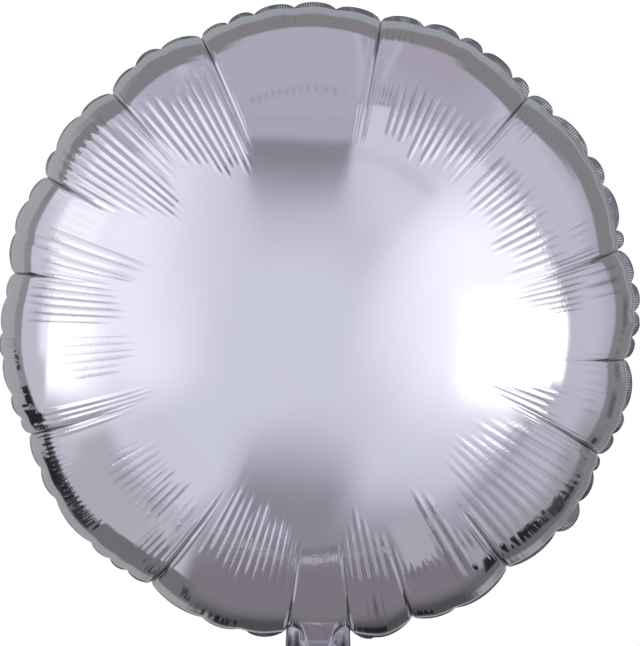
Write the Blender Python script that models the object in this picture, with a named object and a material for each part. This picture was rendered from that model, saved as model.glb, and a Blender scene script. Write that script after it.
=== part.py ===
"""Round foil balloon, inflated: two foil discs sealed round their edge, with a tail that holds the valve.

Metres, +Z up. The front of the balloon faces -Y. The origin is the centre of the envelope, where its lift acts.
Angles run anticlockwise from +X towards +Z, as seen from the front.
"""

import math

import bmesh
import bpy
import numpy as np

# The flat cut of the two foil discs
FLAT_DIAMETER = 0.457
SEAL_WIDTH = 0.005
SEAL_FLAT_RADIUS = FLAT_DIAMETER / 2 - SEAL_WIDTH

# Walls and clearances
PANEL_WALL = 0.0015
TAIL_FOIL_WALL = 0.0008
VALVE_FILM_WALL = 0.0005
SEAM_BAND_WALL = 0.0009
TOUCHING_GAP = 0.0003

# How far the folds of the edge reach into the film, and how deep they are
LOBE_DEPTH = 0.0004
LOBE_REACH = 0.125
RIM_LOBE_DEPTH = 0.0038
RIM_LOBE_REACH = 0.052
RIM_LOBE_USUAL_GAP = 27
RIM_LOBE_REACH_POWER = 0.7
LOBE_POWER = 1.8
CREASE_DEPTH = 0.0012
CREASE_REACH = 0.085
CREASE_HALF_WIDTH = 0.0035
NOTCH_DEPTH = 0.0014
NOTCH_REACH = 0.024

# The seal band leans back behind the rim, least at the upper right. It stands up more between the angles
# below, each pair with its lean.
BAND_LEAN = 71
BAND_LESS_LEAN = 33
BAND_LEAST_LEAN_AT = 42
BAND_LEAN_SPREAD = 75
BAND_UPRIGHT = ((318.8, 325.6, 30), (257, 264, 50), (276, 280, 50))
BAND_NOTCH_WIDTH = 0.0014

# Each deep crease, in degrees, then the notches of the seam between it and the next crease
FOLDS = (
    (13.8, 17.4, 26.0, 31.8, 41.6),
    (47.2, 51.6, 58.6, 63.4, 70.3),
    (78.3, 86.7, 94.3, 101.7, 106.7),
    (112.2, 119.8, 125.5),
    (131.8, 138.8, 146.5),
    (151.6, 156.9, 163.3),
    (170.6, 175.2, 181.6, 186.1, 193.0, 197.7),
    (201.0, 207.6, 213.7, 224.0, 228.4, 232.2),
    (237.2, 248.4, 255.8),
    (264.0,),
    (276.0,),
    (287.8, 295.8),
    (307.8, 318.8, 325.6, 331.8),
    (334.9, 339.4, 343.7),
    (353.4, 357.5, 362.2, 367.5),
)
NECK_CREASES = (264.0, 276.0)

# Tail, measured from the seam at the balloon's lowest point
TAIL_LENGTH = 0.058
TAIL_WAIST_DROP = 0.008
TAIL_WAIST_WIDTH = 0.029
TAIL_END_WIDTH = 0.038
TAIL_FLARE_DROP = 0.030
TAIL_CORNER_RADIUS = 0.008
TAIL_ROOT_INSET = 0.7
TAIL_ROOT_CLEARANCE = 0.0009
TAIL_SEAL_WIDTH = 0.0035
VALVE_FILM_WIDTH = 0.020
VALVE_LIP = 0.003

# How finely the film is divided: distances of its rings from the seam, along the film
RIM_RINGS = (0.0, 0.005, 0.010)
MIDDLE_RINGS = (0.018, 0.030, 0.048, 0.070)
INNER_RINGS = (0.098, 0.130, 0.162, 0.192)
PROFILE_STEPS = 2000


def clear_scene():
    for leftover in list(bpy.data.objects):
        bpy.data.objects.remove(leftover)


def unit_profile():
    """The inflated disc's profile for an inflated radius of 1, from pole to seam.

    At slope angle p its radius is sqrt(sin p). It gives the length along the film, the radius,
    the height over the seam plane and the slope. With p = u * u nothing is singular at the pole.
    """
    u = np.linspace(1e-6, math.sqrt(math.pi / 2), PROFILE_STEPS)
    slope = u * u
    root = np.sqrt(np.sin(slope))
    step = np.diff(u)
    along_rate = u / root
    height_rate = u * root
    along = np.concatenate([[0], np.cumsum((along_rate[1:] + along_rate[:-1]) / 2 * step)])
    fallen = np.concatenate([[0], np.cumsum((height_rate[1:] + height_rate[:-1]) / 2 * step)])
    return along, root, fallen[-1] - fallen, slope


ALONG, RADIUS, HEIGHT, SLOPE = unit_profile()
INFLATED_RADIUS = SEAL_FLAT_RADIUS / ALONG[-1]


def profile_at(distance):
    """Radius, height over the seam plane and slope of the smooth film, at a distance from the seam."""
    along = ALONG[-1] - distance / INFLATED_RADIUS
    radius = float(np.interp(along, ALONG, RADIUS)) * INFLATED_RADIUS
    height = float(np.interp(along, ALONG, HEIGHT)) * INFLATED_RADIUS
    return radius, height, float(np.interp(along, ALONG, SLOPE))


CREASES = [fold[0] for fold in FOLDS]
NOTCHES = sorted(angle % 360 for fold in FOLDS for angle in fold)


def place_between(angle, marks):
    """How far an angle is from the middle of its gap in marks, from -1 to 1, and the gap's width."""
    angle = angle % 360
    after = [mark + turn for turn in (-360, 0, 360) for mark in marks]
    low = max(mark for mark in after if mark <= angle + 1e-9)
    high = min(mark for mark in after if mark > angle + 1e-9)
    return 2 * (angle - low) / (high - low) - 1, high - low


def fading(distance, reach):
    """1 at the seam, falling smoothly to 0 at the reach."""
    share = min(distance / reach, 1.0)
    return 1 - share * share * (3 - 2 * share)


def rim_lobe_reach(angle):
    """How far in from the seam the valleys between the lobes reach: least beside narrow lobes."""
    creases = np.array(CREASES)
    gaps = (np.roll(creases, -1) - np.roll(creases, 1)) % 360 / 2
    reach = RIM_LOBE_REACH * (gaps / RIM_LOBE_USUAL_GAP) ** RIM_LOBE_REACH_POWER
    return float(np.interp(angle % 360, creases, reach, period=360))


def fold_depth(angle, distance):
    """How far the folds draw the film in, at an angle in degrees and a distance from the seam."""
    across, width = place_between(angle, CREASES)
    drawn = LOBE_DEPTH * fading(distance, LOBE_REACH)
    drawn += RIM_LOBE_DEPTH * math.exp(-((distance / rim_lobe_reach(angle)) ** 2))
    lobe = drawn * abs(across) ** LOBE_POWER
    from_crease = (1 - abs(across)) * math.radians(width / 2) * INFLATED_RADIUS
    groove = math.exp(-((from_crease / CREASE_HALF_WIDTH) ** 2))
    crease = CREASE_DEPTH * groove * fading(distance, CREASE_REACH)
    across, _ = place_between(angle, NOTCHES)
    notch = NOTCH_DEPTH * across**2 * math.exp(-((distance / NOTCH_REACH) ** 2))
    return lobe + crease + notch


def film_point(angle, distance, inwards, side):
    """A point of the film. side is -1 for the front and 1 for the back."""
    radius, height, slope = profile_at(distance)
    offset = -fold_depth(angle, distance) - inwards
    radius += offset * math.sin(slope)
    height += offset * math.cos(slope) + TOUCHING_GAP / 2
    turn = math.radians(angle)
    return radius * math.cos(turn), side * height, radius * math.sin(turn)


def divided(parts):
    """The angles of a ring with that many points from each notch to the next."""
    ends = NOTCHES[1:] + [NOTCHES[0] + 360]
    return [
        start + (end - start) * part / parts
        for start, end in zip(NOTCHES, ends)
        for part in range(parts)
    ]


def add_ring(bm, angles, distance, inwards, side):
    return [bm.verts.new(film_point(a, distance, inwards, side)) for a in angles]


def bridge(bm, outer, inner):
    """Faces between two closed rings. The inner one has as many points as the outer, or half as many."""
    count = len(outer)
    step = count // len(inner)
    for i in range(0, count, step):
        j = i // step
        near, far = inner[j], inner[(j + 1) % len(inner)]
        ahead = outer[(i + step) % count]
        if step == 2:
            bm.faces.new((outer[i], outer[i + 1], near))
            bm.faces.new((outer[i + 1], ahead, far, near))
        else:
            bm.faces.new((outer[i], ahead, far, near))


def add_skin(bm, rings, inwards, side):
    """One surface of a panel, from its rim to the pole, and its rim ring."""
    made = [add_ring(bm, angles, distance, inwards, side) for angles, distance in rings]
    for outer, inner in zip(made, made[1:]):
        bridge(bm, outer, inner)
    _, height, _ = profile_at(SEAL_FLAT_RADIUS)
    pole = bm.verts.new((0, side * (height + TOUCHING_GAP / 2 - inwards), 0))
    last = made[-1]
    for i, vertex in enumerate(last):
        bm.faces.new((vertex, last[(i + 1) % len(last)], pole))
    return made[0]


def finish_object(name, mesh, material, smooth_below=50):
    mesh.shade_smooth()
    mesh.set_sharp_from_angle(angle=math.radians(smooth_below))
    mesh.materials.append(material)
    made = bpy.data.objects.new(name, mesh)
    bpy.context.scene.collection.objects.link(made)
    return made


def mesh_of(name, bm):
    bmesh.ops.recalc_face_normals(bm, faces=bm.faces)
    mesh = bpy.data.meshes.new(name)
    bm.to_mesh(mesh)
    bm.free()
    return mesh


def make_panel(name, side, material):
    """A foil disc blown up into a dome: an outer skin, an inner skin and the rim that joins them."""
    bm = bmesh.new()
    fine, middle, coarse = divided(4), divided(2), divided(1)
    outer_rings = [(fine, d) for d in RIM_RINGS]
    outer_rings += [(middle, d) for d in MIDDLE_RINGS]
    outer_rings += [(coarse, d) for d in INNER_RINGS]
    inner_rings = [(middle, d) for d in RIM_RINGS + MIDDLE_RINGS[:2]]
    inner_rings += [(coarse, d) for d in MIDDLE_RINGS[2:] + INNER_RINGS]
    outer_rim = add_skin(bm, outer_rings, 0, side)
    inner_rim = add_skin(bm, inner_rings, PANEL_WALL, side)
    bridge(bm, outer_rim, inner_rim)
    return finish_object(name, mesh_of(name, bm), material)


def seam_radius(angle):
    return INFLATED_RADIUS - fold_depth(angle, 0)


def band_lean(angle):
    """How far the seal band leans back from standing straight out, in degrees."""
    away = (angle - BAND_LEAST_LEAN_AT + 180) % 360 - 180
    lean = BAND_LEAN - BAND_LESS_LEAN * math.exp(-((away / BAND_LEAN_SPREAD) ** 2))
    for first, last, least in BAND_UPRIGHT:
        if first < angle % 360 < last:
            share = (angle % 360 - first) / (last - first)
            lean += (least - lean) * math.sin(math.pi * share) ** 0.5
    return lean


def band_section(angle):
    """The four corners of the seal band's cross-section at an angle, going round it."""
    lean = math.radians(band_lean(angle))
    across, _ = place_between(angle, NOTCHES)
    width = BAND_NOTCH_WIDTH + (SEAL_WIDTH - BAND_NOTCH_WIDTH) * (1 - across**4)
    half = SEAM_BAND_WALL / 2
    base = seam_radius(angle) + TOUCHING_GAP + half * math.sin(lean)
    turn = math.radians(angle)
    corners = []
    for out, thick in ((0, -half), (width, -half), (width, half), (0, half)):
        radius = base + out * math.cos(lean) - thick * math.sin(lean)
        depth = out * math.sin(lean) + thick * math.cos(lean)
        corners.append((radius * math.cos(turn), depth, radius * math.sin(turn)))
    return corners


def make_seam_band(material):
    """The welded edge of both discs. It is open at the neck, where the tail leaves."""
    first, last = NECK_CREASES[1] + TAIL_ROOT_INSET / 2, NECK_CREASES[0] - TAIL_ROOT_INSET / 2 + 360
    angles = [a + turn for turn in (0, 360) for a in divided(4)]
    inside = sorted(a for a in angles if first + 1e-6 < a < last - 1e-6)
    bm = bmesh.new()
    sections = [[bm.verts.new(p) for p in band_section(a)] for a in [first, *inside, last]]
    for before, after in zip(sections, sections[1:]):
        for i in range(4):
            bm.faces.new((before[i], before[(i + 1) % 4], after[(i + 1) % 4], after[i]))
    bm.faces.new(sections[0])
    bm.faces.new(sections[-1][::-1])
    return finish_object("seam_band", mesh_of("seam_band", bm), material)


def tail_root():
    """Points along the seam from one neck crease to the other, left to right, just clear of the film."""
    low, high = NECK_CREASES
    between = [a for a in divided(4) if low < a < high]
    points = []
    for angle in [low + TAIL_ROOT_INSET, *between, high - TAIL_ROOT_INSET]:
        radius = seam_radius(angle) + TAIL_ROOT_CLEARANCE
        turn = math.radians(angle)
        points.append((radius * math.cos(turn), radius * math.sin(turn)))
    return points


def smooth_between(share):
    return share * share * (3 - 2 * share)


def tail_half_width(drop):
    """Half the tail's width at a drop below the seam's lowest point."""
    root_x, root_z = tail_root()[-1]
    waist, end = TAIL_WAIST_WIDTH / 2, TAIL_END_WIDTH / 2
    if drop < TAIL_WAIST_DROP:
        top = -INFLATED_RADIUS - root_z
        share = (drop - top) / (TAIL_WAIST_DROP - top)
        return root_x + (waist - root_x) * smooth_between(share)
    if drop < TAIL_FLARE_DROP:
        share = (drop - TAIL_WAIST_DROP) / (TAIL_FLARE_DROP - TAIL_WAIST_DROP)
        return waist + (end - waist) * smooth_between(share)
    corner = drop - (TAIL_LENGTH - TAIL_CORNER_RADIUS)
    if corner > 0:
        return end - TAIL_CORNER_RADIUS + math.sqrt(max(TAIL_CORNER_RADIUS**2 - corner**2, 0))
    return end


def tail_side(steps=12):
    """Points down the right edge of the tail, from its root to its end."""
    start = -INFLATED_RADIUS - tail_root()[-1][1]
    straight = TAIL_LENGTH - TAIL_CORNER_RADIUS
    drops = [start + (straight - start) * i / steps for i in range(1, steps + 1)]
    drops += [straight + TAIL_CORNER_RADIUS * math.sin(math.radians(t)) for t in (30, 60, 90)]
    return [(tail_half_width(d), -INFLATED_RADIUS - d) for d in drops]


def make_plate(name, outline, near, far, material):
    """A flat plate in the XZ plane from an outline, between two places along Y."""
    bm = bmesh.new()
    face = bm.faces.new([bm.verts.new((x, near, z)) for x, z in outline])
    grown = bmesh.ops.extrude_face_region(bm, geom=[face])["geom"]
    moved = [g for g in grown if isinstance(g, bmesh.types.BMVert)]
    bmesh.ops.translate(bm, verts=moved, vec=(0, far - near, 0))
    return finish_object(name, mesh_of(name, bm), material)


def make_tail(foil, seal, film):
    """Two foil layers, the welds down their sides and the two valve films between them."""
    film_near = TOUCHING_GAP / 2
    film_far = film_near + VALVE_FILM_WALL
    foil_near = film_far + TOUCHING_GAP
    foil_far = foil_near + TAIL_FOIL_WALL
    right = tail_side()
    left = [(-x, z) for x, z in reversed(right)]
    outline = tail_root() + right + left
    make_plate("tail_front_layer", outline, -foil_far, -foil_near, foil)
    make_plate("tail_back_layer", outline, foil_near, foil_far, foil)
    root = tail_root()
    top_x, top_z = root[-1]
    inner_x = top_x - TAIL_SEAL_WIDTH
    inner_top = (inner_x, np.interp(inner_x, *zip(*root)) - TOUCHING_GAP)
    sides = right[:-2]
    outer = [(top_x, top_z - TOUCHING_GAP), *sides]
    inner = [(x - TAIL_SEAL_WIDTH, z) for x, z in reversed(sides)] + [inner_top]
    make_plate("tail_seal_right", outer + inner, -film_far, film_far, seal)
    make_plate("tail_seal_left", [(-x, z) for x, z in outer + inner], -film_far, film_far, seal)
    half = VALVE_FILM_WIDTH / 2
    head = -INFLATED_RADIUS - TAIL_WAIST_DROP / 2
    foot = -INFLATED_RADIUS - TAIL_LENGTH - VALVE_LIP
    strip = [(-half, head), (half, head), (half, foot), (-half, foot)]
    make_plate("valve_film_front", strip, -film_far, -film_near, film)
    make_plate("valve_film_back", strip, film_near, film_far, film)


def make_material(name, colour, roughness, metallic, transmission=0.0):
    material = bpy.data.materials.new(name)
    material.use_nodes = True
    shader = material.node_tree.nodes["Principled BSDF"]
    shader.inputs["Base Color"].default_value = (*colour, 1)
    shader.inputs["Roughness"].default_value = roughness
    shader.inputs["Metallic"].default_value = metallic
    shader.inputs["Transmission Weight"].default_value = transmission
    return material


def main():
    clear_scene()
    foil = make_material("silver_foil", (0.78, 0.77, 0.82), 0.12, 1.0)
    seal = make_material("embossed_seal", (0.62, 0.64, 0.67), 0.3, 1.0)
    film = make_material("clear_valve_film", (0.93, 0.94, 0.95), 0.15, 0.0, 0.8)
    make_panel("front_panel", -1, foil)
    make_panel("back_panel", 1, foil)
    make_seam_band(seal)
    make_tail(foil, seal, film)


main()
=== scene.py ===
"""Looks of the round foil balloon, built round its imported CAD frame.

The film is shaped from the same profile and the same folds as the CAD panels, with the fine wrinkles,
the embossed seal and the soft neck that those leave out. Metres, +Z up, front towards -Y.
Angles run anticlockwise from +X towards +Z, as seen from the front.
"""

import math

import bpy
import numpy as np
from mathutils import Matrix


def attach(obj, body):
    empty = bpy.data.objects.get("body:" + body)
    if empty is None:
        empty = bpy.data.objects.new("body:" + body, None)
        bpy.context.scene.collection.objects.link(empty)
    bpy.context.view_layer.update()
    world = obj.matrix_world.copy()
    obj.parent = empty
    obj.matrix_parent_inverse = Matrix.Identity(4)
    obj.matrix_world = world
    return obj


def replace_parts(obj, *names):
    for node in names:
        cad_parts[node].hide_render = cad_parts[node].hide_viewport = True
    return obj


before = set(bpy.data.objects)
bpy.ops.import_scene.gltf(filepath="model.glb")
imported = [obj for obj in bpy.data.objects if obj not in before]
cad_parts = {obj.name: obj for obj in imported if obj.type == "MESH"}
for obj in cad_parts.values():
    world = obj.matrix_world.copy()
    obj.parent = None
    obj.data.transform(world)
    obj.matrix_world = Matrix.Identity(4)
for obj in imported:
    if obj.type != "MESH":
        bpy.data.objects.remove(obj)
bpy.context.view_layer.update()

MM_PER_METRE = 1000

# The sides of the balloon, as signs along Y and along X
FRONT, BACK = -1, 1
LEFT, RIGHT = -1, 1

# The flat cut of the two foil discs
FLAT_DIAMETER = 0.457
SEAL_WIDTH = 0.005
SEAL_FLAT_RADIUS = FLAT_DIAMETER / 2 - SEAL_WIDTH
FILM_GAP = 0.0003

# The smooth dome is worked out at this many places, the first of them this close to the pole
PROFILE_STEPS = 4000
PROFILE_START = 1e-6

# Valleys between the lobes: a shallow one, and a deep one close to the rim that reaches further in beside
# wide lobes. RIM_LOBE_REACH is right where the creases are RIM_LOBE_USUAL_GAP degrees apart.
LOBE_DEPTH = 0.0004
LOBE_REACH = 0.125
LOBE_POWER = 1.8
RIM_LOBE_DEPTH = 0.0038
RIM_LOBE_REACH = 0.052
RIM_LOBE_USUAL_GAP = 27
RIM_LOBE_REACH_POWER = 0.7

# Deep creases: a sharp groove with a small shoulder on both sides, CREASE_SHOULDER_AT half widths away
CREASE_DEPTH = 0.0009
CREASE_RISE_POWER = 0.8
CREASE_HALF_WIDTH = 0.0007
CREASE_SECTION_POWER = 1.3
CREASE_SHOULDER = 0.14
CREASE_SHOULDER_AT = 2.6

# Notches of the seam
NOTCH_DEPTH = 0.0013
NOTCH_REACH = 0.024
NOTCH_POWER = 1.7

# Painted shade: dark lines painted into the film's colour where it folds against itself, along each crease
# and at each notch near the seam. A crease's line starts narrower and fainter.
PAINTED_FOLD_SHADE_HALF_WIDTH = 0.00062
PAINTED_FOLD_SHADE_START_WIDTH = 0.45
PAINTED_FOLD_SHADE_RISE_POWER = 0.6
NOTCH_PAINTED_SHADE_REACH = 0.005
NOTCH_PAINTED_SHADE_STRENGTH = 0.7

# Each deep crease, in degrees, then the notches of the seam between it and the next crease
FOLDS = (
    (13.8, 17.4, 26.0, 31.8, 41.6),
    (47.2, 51.6, 58.6, 63.4, 70.3),
    (78.3, 86.7, 94.3, 101.7, 106.7),
    (112.2, 119.8, 125.5),
    (131.8, 138.8, 146.5),
    (151.6, 156.9, 163.3),
    (170.6, 175.2, 181.6, 186.1, 193.0, 197.7),
    (201.0, 207.6, 213.7, 224.0, 228.4, 232.2),
    (237.2, 248.4, 255.8),
    (264.0,),
    (276.0,),
    (287.8, 295.8),
    (307.8, 318.8, 325.6, 331.8),
    (334.9, 339.4, 343.7),
    (353.4, 357.5, 362.2, 367.5),
)
NECK_CREASES = (264.0, 276.0)

# In the order of FOLDS: the share of the inflated radius where each crease starts
CREASE_STARTS = (0.66, 0.57, 0.57, 0.57, 0.64, 0.66, 0.67, 0.56, 0.58, 0.62, 0.65, 0.70, 0.66, 0.66, 0.76)

# How many degrees the folds that meet the seam at an angle have turned where they end, in pairs
DRIFTS = (
    (13.8, -3.5), (42, -2.5), (47.2, -0.8), (66, -1.8), (78.3, -1.5), (112.2, -1.4), (121, -0.4),
    (131.8, -0.6), (145, 0.2), (151.6, 0.2), (165, 1.4), (170.6, -1), (176, 0.3), (190, 2.5),
    (201, 3.2), (225, 2.4), (237.2, 4.2), (243, 1.4), (264, 1.8), (276, 0.2), (307.8, 0),
    (330, 0.2), (334.9, 3), (345, 0), (353.4, -3.5),
)
DRIFT_FROM = 0.55

# Runs of fine wrinkles: first and last angle, how many, the share of the radius where the first, the middle
# and the last one start (one number where all start there), the same for where they end, their height in
# millimetres, and how much shade is painted into the film's colour in the folds between them
WRINKLE_RUNS = (
    (2.8, 9.8, 6, (0.68, 0.58, 0.64), 0.84, 0.16, 0.8),
    (10.6, 13.2, 4, (0.64, 0.68, 0.7), (0.91, 0.9, 0.91), 0.16, 0.7),
    (5, 7.6, 2, 0.8, 0.96, 0.12, 0.6),
    (15, 18.4, 3, 0.78, 0.92, 0.08, 0.35),
    (14.3, 40.6, 14, (0.59, 0.57, 0.59), 0.79, 0.48, 0.5),
    (41, 46, 5, (0.8, 0.84, 0.88), 0.93, 0.12, 0.35),
    (49.4, 70, 11, (0.61, 0.57, 0.6), (0.79, 0.81, 0.79), 0.56, 0.42),
    (70.9, 77, 8, 0.68, (0.76, 0.77, 0.79), 0.18, 0.6),
    (71.5, 77.4, 6, 0.9, 0.96, 0.22, 0.3),
    (78.2, 79.8, 3, 0.55, 0.71, 0.16, 0.2),
    (88, 98, 6, 0.56, 0.66, 0.05, 0),
    (91.8, 94.8, 4, 0.93, 0.98, 0.2, 0.3),
    (113.2, 131, 10, (0.52, 0.54, 0.66), (0.88, 0.84, 0.88), 0.56, 0.32),
    (133.2, 136.4, 3, (0.66, 0.62, 0.62), 0.9, 0.26, 0.2),
    (137.6, 150.6, 8, (0.56, 0.53, 0.64), (0.95, 0.96, 0.96), 0.52, 0.3),
    (152.6, 160.4, 5, (0.73, 0.72, 0.7), 0.9, 0.1, 0.1),
    (162, 166.6, 3, (0.53, 0.53, 0.55), (0.92, 0.94, 0.9), 0.46, 0.4),
    (168, 171.8, 3, 0.62, 0.89, 0.26, 0.55),
    (173.4, 179, 4, (0.6, 0.58, 0.62), 0.91, 0.14, 0.7),
    (184.6, 192.6, 5, (0.56, 0.54, 0.6), 0.81, 0.1, 0.4),
    (184.6, 188.6, 4, 0.92, 0.985, 0.2, 0.2),
    (199.6, 204.4, 5, (0.57, 0.56, 0.6), (0.92, 0.93, 0.9), 0.36, 0.35),
    (201.8, 213.6, 14, (0.87, 0.87, 0.88), 0.953, 0.3, 0.2),
    (213.6, 221.4, 5, (0.62, 0.59, 0.6), 0.8, 0.22, 0.4),
    (223, 230.4, 5, (0.6, 0.61, 0.61), 0.8, 0.28, 0.25),
    (193.8, 197, 5, 0.92, 0.98, 0.16, 0.2),
    (231.6, 235.8, 3, (0.62, 0.62, 0.64), 0.82, 0.09, 0.1),
    (214.8, 224.2, 10, 0.89, 0.958, 0.3, 0.2),
    (232.8, 238.6, 5, (0.74, 0.8, 0.84), 0.95, 0.22, 0.2),
    (243.2, 249.4, 4, 0.56, (0.8, 0.78, 0.82), 0.26, 0.15),
    (251, 263.8, 8, (0.56, 0.58, 0.62), (0.84, 0.84, 0.88), 0.42, 0.15),
    (248.8, 256, 6, 0.94, 0.985, 0.18, 0.2),
    (269.4, 272.6, 3, (0.62, 0.64, 0.62), (0.83, 0.84, 0.82), 0.05, 0.1),
    (280.6, 282.4, 2, 0.83, 0.95, 0.24, 0.6),
    (277.2, 286.8, 6, (0.62, 0.58, 0.66), (0.84, 0.85, 0.86), 0.52, 0.15),
    (277.4, 287, 8, 0.93, 0.98, 0.2, 0.2),
    (288.6, 297.2, 7, 0.78, 0.85, 0.22, 0.3),
    (300, 302.4, 2, 0.57, 0.92, 0.46, 0.3),
    (303.8, 307, 3, (0.72, 0.74, 0.72), (0.86, 0.86, 0.9), 0.28, 0.3),
    (309.2, 311.8, 2, (0.66, 0.64, 0.62), 0.93, 0.26, 0.3),
    (313.8, 332.6, 9, (0.54, 0.53, 0.62), (0.93, 0.95, 0.9), 0.2, 0.35),
    (308.4, 318, 9, 0.9, 0.955, 0.24, 0.2),
    (324.6, 334.2, 8, (0.89, 0.9, 0.89), 0.96, 0.16, 0.2),
    (329.8, 334, 3, 0.76, 0.9, 0.1, 0.2),
    (335.6, 338, 4, (0.68, 0.64, 0.66), 0.92, 0.18, 0.5),
    (338.4, 343.6, 4, (0.58, 0.56, 0.66), (0.8, 0.79, 0.79), 0.2, 0.7),
    (343, 352, 6, 0.8, 0.93, 0.1, 0.2),
)
WRINKLES_MEASURED_AT = 0.68

# Each wrinkle: how sharp its ridge is, the lengths over which it starts and ends, with the most that each
# may take of the whole, how far its ends and its place may stray, and how much its height may vary
WRINKLE_SHARPNESS = 0.95
WRINKLE_START_FADE = 0.07
WRINKLE_START_MOST = 0.6
WRINKLE_END_FADE = 0.06
WRINKLE_END_MOST = 0.5
WRINKLE_STRAY = 0.025
WRINKLE_STRAY_MOST = 0.125
WRINKLE_SHIFT = 0.08
WRINKLE_HEIGHTS = (0.75, 1.15)
# How narrow the lines of painted shade are in the folds between the wrinkles
PAINTED_SHADE_LINE_POWER = 3

# Wrinkles of the back: their spacing and their distance from the creases in degrees, where the outer ones
# of a run start, and the ranges of where its middle one starts, of where they end and of their height
BACK_WRINKLE_SPACING = 2.2
BACK_WRINKLE_MARGIN = 1.2
BACK_COUNT_MARGIN = 2
BACK_WRINKLE_START = 0.66
BACK_WRINKLE_MIDDLES = (0.53, 0.60)
BACK_WRINKLE_ENDS = (0.78, 0.92)
BACK_WRINKLE_HEIGHTS = (0.16, 0.38)
# How much shade is painted into the folds between the back's wrinkles
BACK_PAINTED_FOLD_SHADE = 0.2

# Narrow pleats close to each deep crease: their places in degrees from it, half width and height, how much
# places and heights may vary, how much later than the crease they start, and where they end
SIDE_PLEATS = (-1.35, -0.75, 0.75, 1.35)
SIDE_PLEAT_PLACES = (0.8, 1.2)
SIDE_PLEAT_HALF_WIDTH = 0.30
SIDE_PLEAT_HEIGHT = 0.00016
SIDE_PLEAT_HEIGHTS = (0.5, 1.3)
SIDE_PLEAT_LATER = (0, 0.10)
SIDE_PLEAT_ENDS = (0.84, 0.93)
SIDE_PLEAT_START_FADE = 0.06
SIDE_PLEAT_END_FADE = 0.04

# Small tucks all round, where the seam gathers the film: how many, their height, half width in degrees, the
# distances from the seam between which they fade, and how much these may vary
TUCKS = 420
TUCK_HEIGHT = 0.00009
TUCK_HALF_WIDTH = 0.26
TUCK_FADE = (0.030, 0.062)
TUCK_REACHES = (0.75, 1.05)

# The dome's slight unevenness: waves, each in radians per metre along X and along Z, with its shift
DOME_WAVE_HEIGHT = 0.0001
DOME_WAVES = ((61, 23, 0.7), (-37, 52, 2.1), (90, -71, 0))

# The film is divided most finely where it wrinkles, and finer still beside each crease
FRONT_ANGLE_STEPS = 1960
BACK_ANGLE_STEPS = 1400
CENTRE_SHARE = 4
DENSITY_SAMPLES = 72001
CREASE_DENSITY = 6
CREASE_DENSITY_REACH = 0.8
RIM_RING_STEP = 0.0028
RIM_RINGS_TO = 0.014
WRINKLED_RING_STEP = 0.0031
WRINKLED_RINGS_TO = 0.142
CENTRE_RING_STEP = 0.0052

# Seeds of the random numbers
FRONT_SEED = 3
BACK_SEED = 7
BACK_RUNS_SEED = 11
BAND_SEED = 5

# Seal band: it leans back behind the rim, least at the upper right. It stands up more between the angles
# below, each pair with its lean. Its scallops' stray and its curl are in degrees as well.
BAND_LEAN = 71
BAND_LESS_LEAN = 33
BAND_LEAST_LEAN_AT = 42
BAND_LEAN_SPREAD = 75
BAND_UPRIGHT = ((318.8, 325.6, 30), (257, 264, 50), (276, 280, 50))
BAND_STRAY = 4
BAND_CURL = 6
BAND_NOTCH_WIDTH = 0.0014
BAND_SCALLOP_POWER = 4
BAND_NECK_GAP = 0.3
BAND_ROWS = 6
BAND_STEPS = 1800

# Neck: the film between its two creases, drawn out along a curve into the tail. The pulls are the lengths of
# the curve's two handles, and the shoulder is how far its sides have moved where they meet the seam.
NECK_REACH = 0.045
NECK_BLEND = 0.3
NECK_FOOT_DROP = 0.016
NECK_FOOT_HEIGHT = 0.004
NECK_FOOT_PULL = 0.007
NECK_TOP_PULL = 0.020
NECK_SHOULDER = (0, -0.004, -0.010)

# The width of its raised middle, as shares of the room between the creases: at the top, and from
# NECK_CHANNEL_FROM on. It stays level within the share NECK_FLAT_TOP of that width.
NECK_CHANNEL_TOP = 1.0
NECK_CHANNEL = 0.60
NECK_CHANNEL_FROM = 0.45
NECK_FLAT_TOP = 0.50

# Shade painted into the film's colour on both sides of the neck, in lines like small gathers: how dark they
# are at most, how close together, how much they vary, and between which shares of its length they set in
NECK_GATHER_PAINTED_SHADE = 0.75
NECK_PAINTED_GATHER_LINES = 26
NECK_PAINTED_GATHER_SWING = 0.4
NECK_PAINTED_GATHER_START = (0.35, 0.8)

# Tail, measured from the seam at the balloon's lowest point. Its layers flatten down to TAIL_FLAT_DROP, and
# their swell fades within TAIL_SWELL_WIDTH, as shares of half the width.
TAIL_LENGTH = 0.058
TAIL_WAIST_WIDTH = 0.029
TAIL_END_WIDTH = 0.038
TAIL_WAIST_DROP = 0.008
TAIL_FLARE_DROP = 0.030
TAIL_CORNER_RADIUS = 0.008
TAIL_LAYER_HEIGHT = 0.0009
TAIL_FLAT_DROP = 0.026
TAIL_FLAT_POWER = 1.5
TAIL_SWELL = 0.0040
TAIL_SWELL_TO = 0.053
TAIL_SWELL_ROUND = 0.006
TAIL_SWELL_SAMPLES = 21
TAIL_SWELL_WIDTH = (0.65, 1.0)
TAIL_RIPPLE = 0.0001
TAIL_RIPPLES_ACROSS = 9
TAIL_RIPPLES_DOWN = 12
TAIL_FIRST_ROWS = 24
TAIL_ROWS = 60
TAIL_COLUMNS = 41

# The tail's welds. They end above the tail's own end, by the share TAIL_SEAL_CORNER of its corners' radius,
# and TAIL_SEAL_BEVEL is how much of their thickness is left at their outer edge.
TAIL_SEAL_WIDTH = 0.0035
TAIL_SEAL_DROP = 0.004
TAIL_SEAL_PROUD = 0.0001
TAIL_SEAL_CORNER = 0.6
TAIL_SEAL_BEVEL = 0.5

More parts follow.
